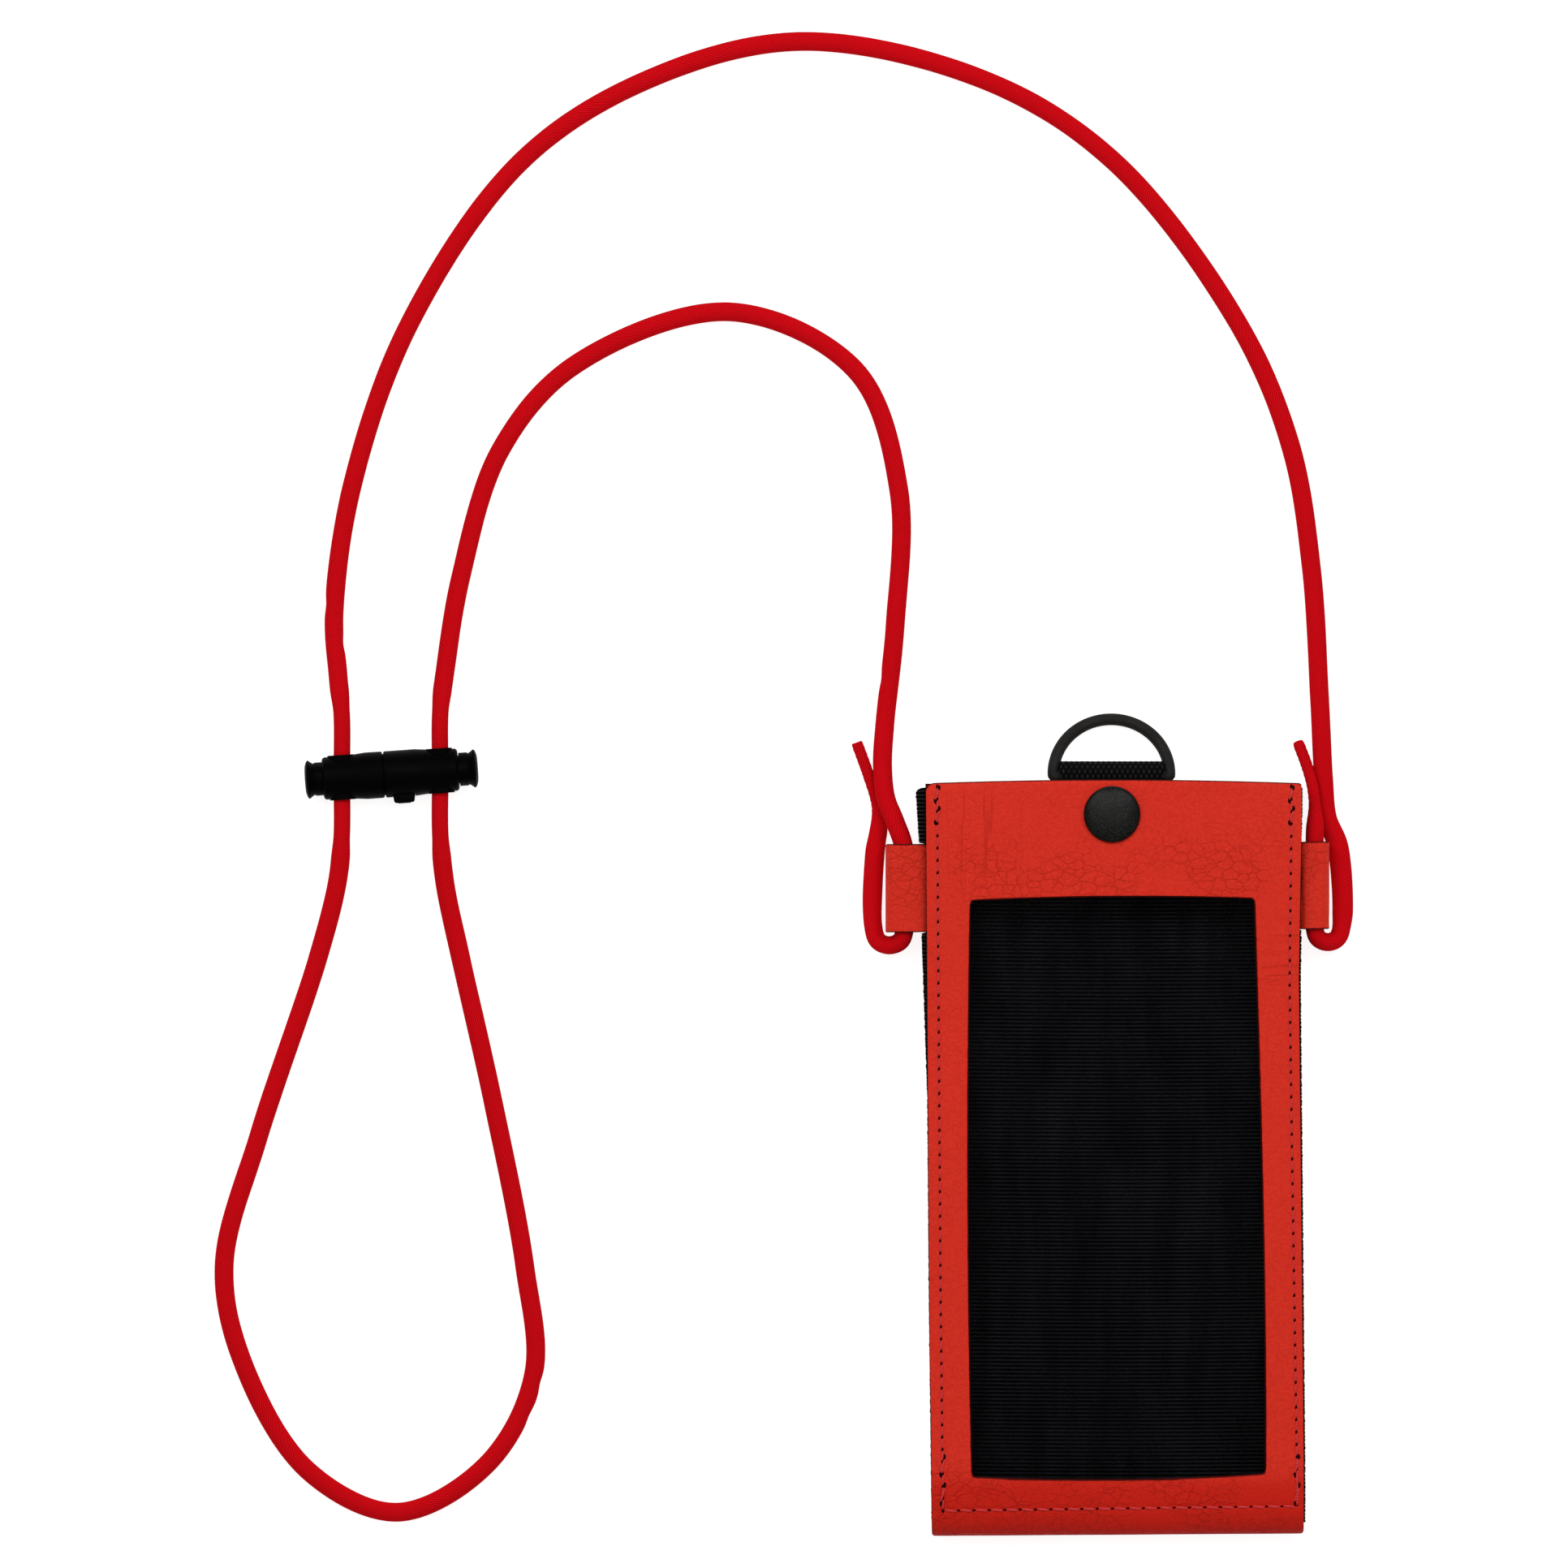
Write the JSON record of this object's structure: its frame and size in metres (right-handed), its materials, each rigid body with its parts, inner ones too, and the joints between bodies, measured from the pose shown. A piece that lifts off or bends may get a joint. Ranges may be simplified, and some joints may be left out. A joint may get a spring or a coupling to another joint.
{
  "type": "phone wallet case",
  "caption": "Flat leather phone pouch with a clear window, elastic sides, a snap strap with a D-ring, and a long neck cord with a sliding cord lock.",
  "frame": {"origin": "centre of the back's outer face, halfway up the pouch, as it lies on its back", "axes": "+X across the pouch to the right, +Y up the pouch towards its mouth and D-ring, +Z out of the front with the window"},
  "size_m": [0.2862, 0.3783, 0.0173],
  "materials": {
    "red_leather": "pebbled faux leather, soft sheen",
    "black_elastic": "ribbed woven elastic, matte",
    "black_webbing": "woven webbing, matte",
    "clear_film": "clear soft film",
    "black_metal": "black enamel, satin",
    "bare_steel": "bare spring steel",
    "black_plastic": "moulded, satin",
    "red_cord": "woven polyester cord"
  },
  "bodies": {
    "root": {"back_panel": "red_leather", "back_pocket": "red_leather", "elastic_lining": "black_elastic", "gusset_left": "black_elastic", "gusset_right": "black_elastic", "tab_left": "red_leather", "tab_right": "red_leather", "closure_strap": "black_webbing", "snap_stud": "bare_steel", "snap_post": "bare_steel", "neck_cord": "red_cord"},
    "front": {"front_frame": "red_leather", "window_film": "clear_film", "snap_cap": "black_metal", "snap_socket": "bare_steel"},
    "ring": {"d_ring": "black_metal"},
    "cord_lock": {"lock_shell_left": "black_plastic", "lock_shell_right": "black_plastic", "plunger_spring_left": "bare_steel", "plunger_spring_right": "bare_steel"},
    "left_plunger": {"plunger_left": "black_plastic"},
    "right_plunger": {"plunger_right": "black_plastic"},
    "release_button": {"lock_release_button": "black_plastic"}
  },
  "joints": [
    {"name": "front_open", "type": "hinge", "parent": "root", "child": "front", "pos_m": [0, -0.08815, 0.00835], "axis": [1, 0, 0], "range_deg": [0, 6], "stiffness_Nm_per_rad": 2, "springref_deg": -1.72, "deforming": ["gusset_left", "gusset_right"]},
    {"name": "d_ring_swing", "type": "hinge", "parent": "root", "child": "ring", "pos_m": [-0.0007, 0.09575, 0.0069], "axis": [1, 0, 0], "range_deg": [-65, 98]},
    {"name": "lock_slide", "type": "slide", "parent": "root", "child": "cord_lock", "axis": [0, 1, 0], "range_m": [-0.009, 0.009]},
    {"name": "plunger_left_press", "type": "slide", "parent": "cord_lock", "child": "left_plunger", "axis": [0.9977, 0.068, 0], "range_m": [0, 0.002], "stiffness_N_per_m": 800, "springref_m": -0.002, "deforming": ["plunger_spring_left"]},
    {"name": "plunger_right_press", "type": "slide", "parent": "cord_lock", "child": "right_plunger", "axis": [-0.9977, -0.068, 0], "range_m": [0, 0.002], "stiffness_N_per_m": 800, "springref_m": -0.002, "deforming": ["plunger_spring_right"]},
    {"name": "button_press", "type": "slide", "parent": "cord_lock", "child": "release_button", "axis": [-0.068, 0.9977, 0], "range_m": [0, 0.0011], "stiffness_N_per_m": 600, "springref_m": -0.0015}
  ]
}
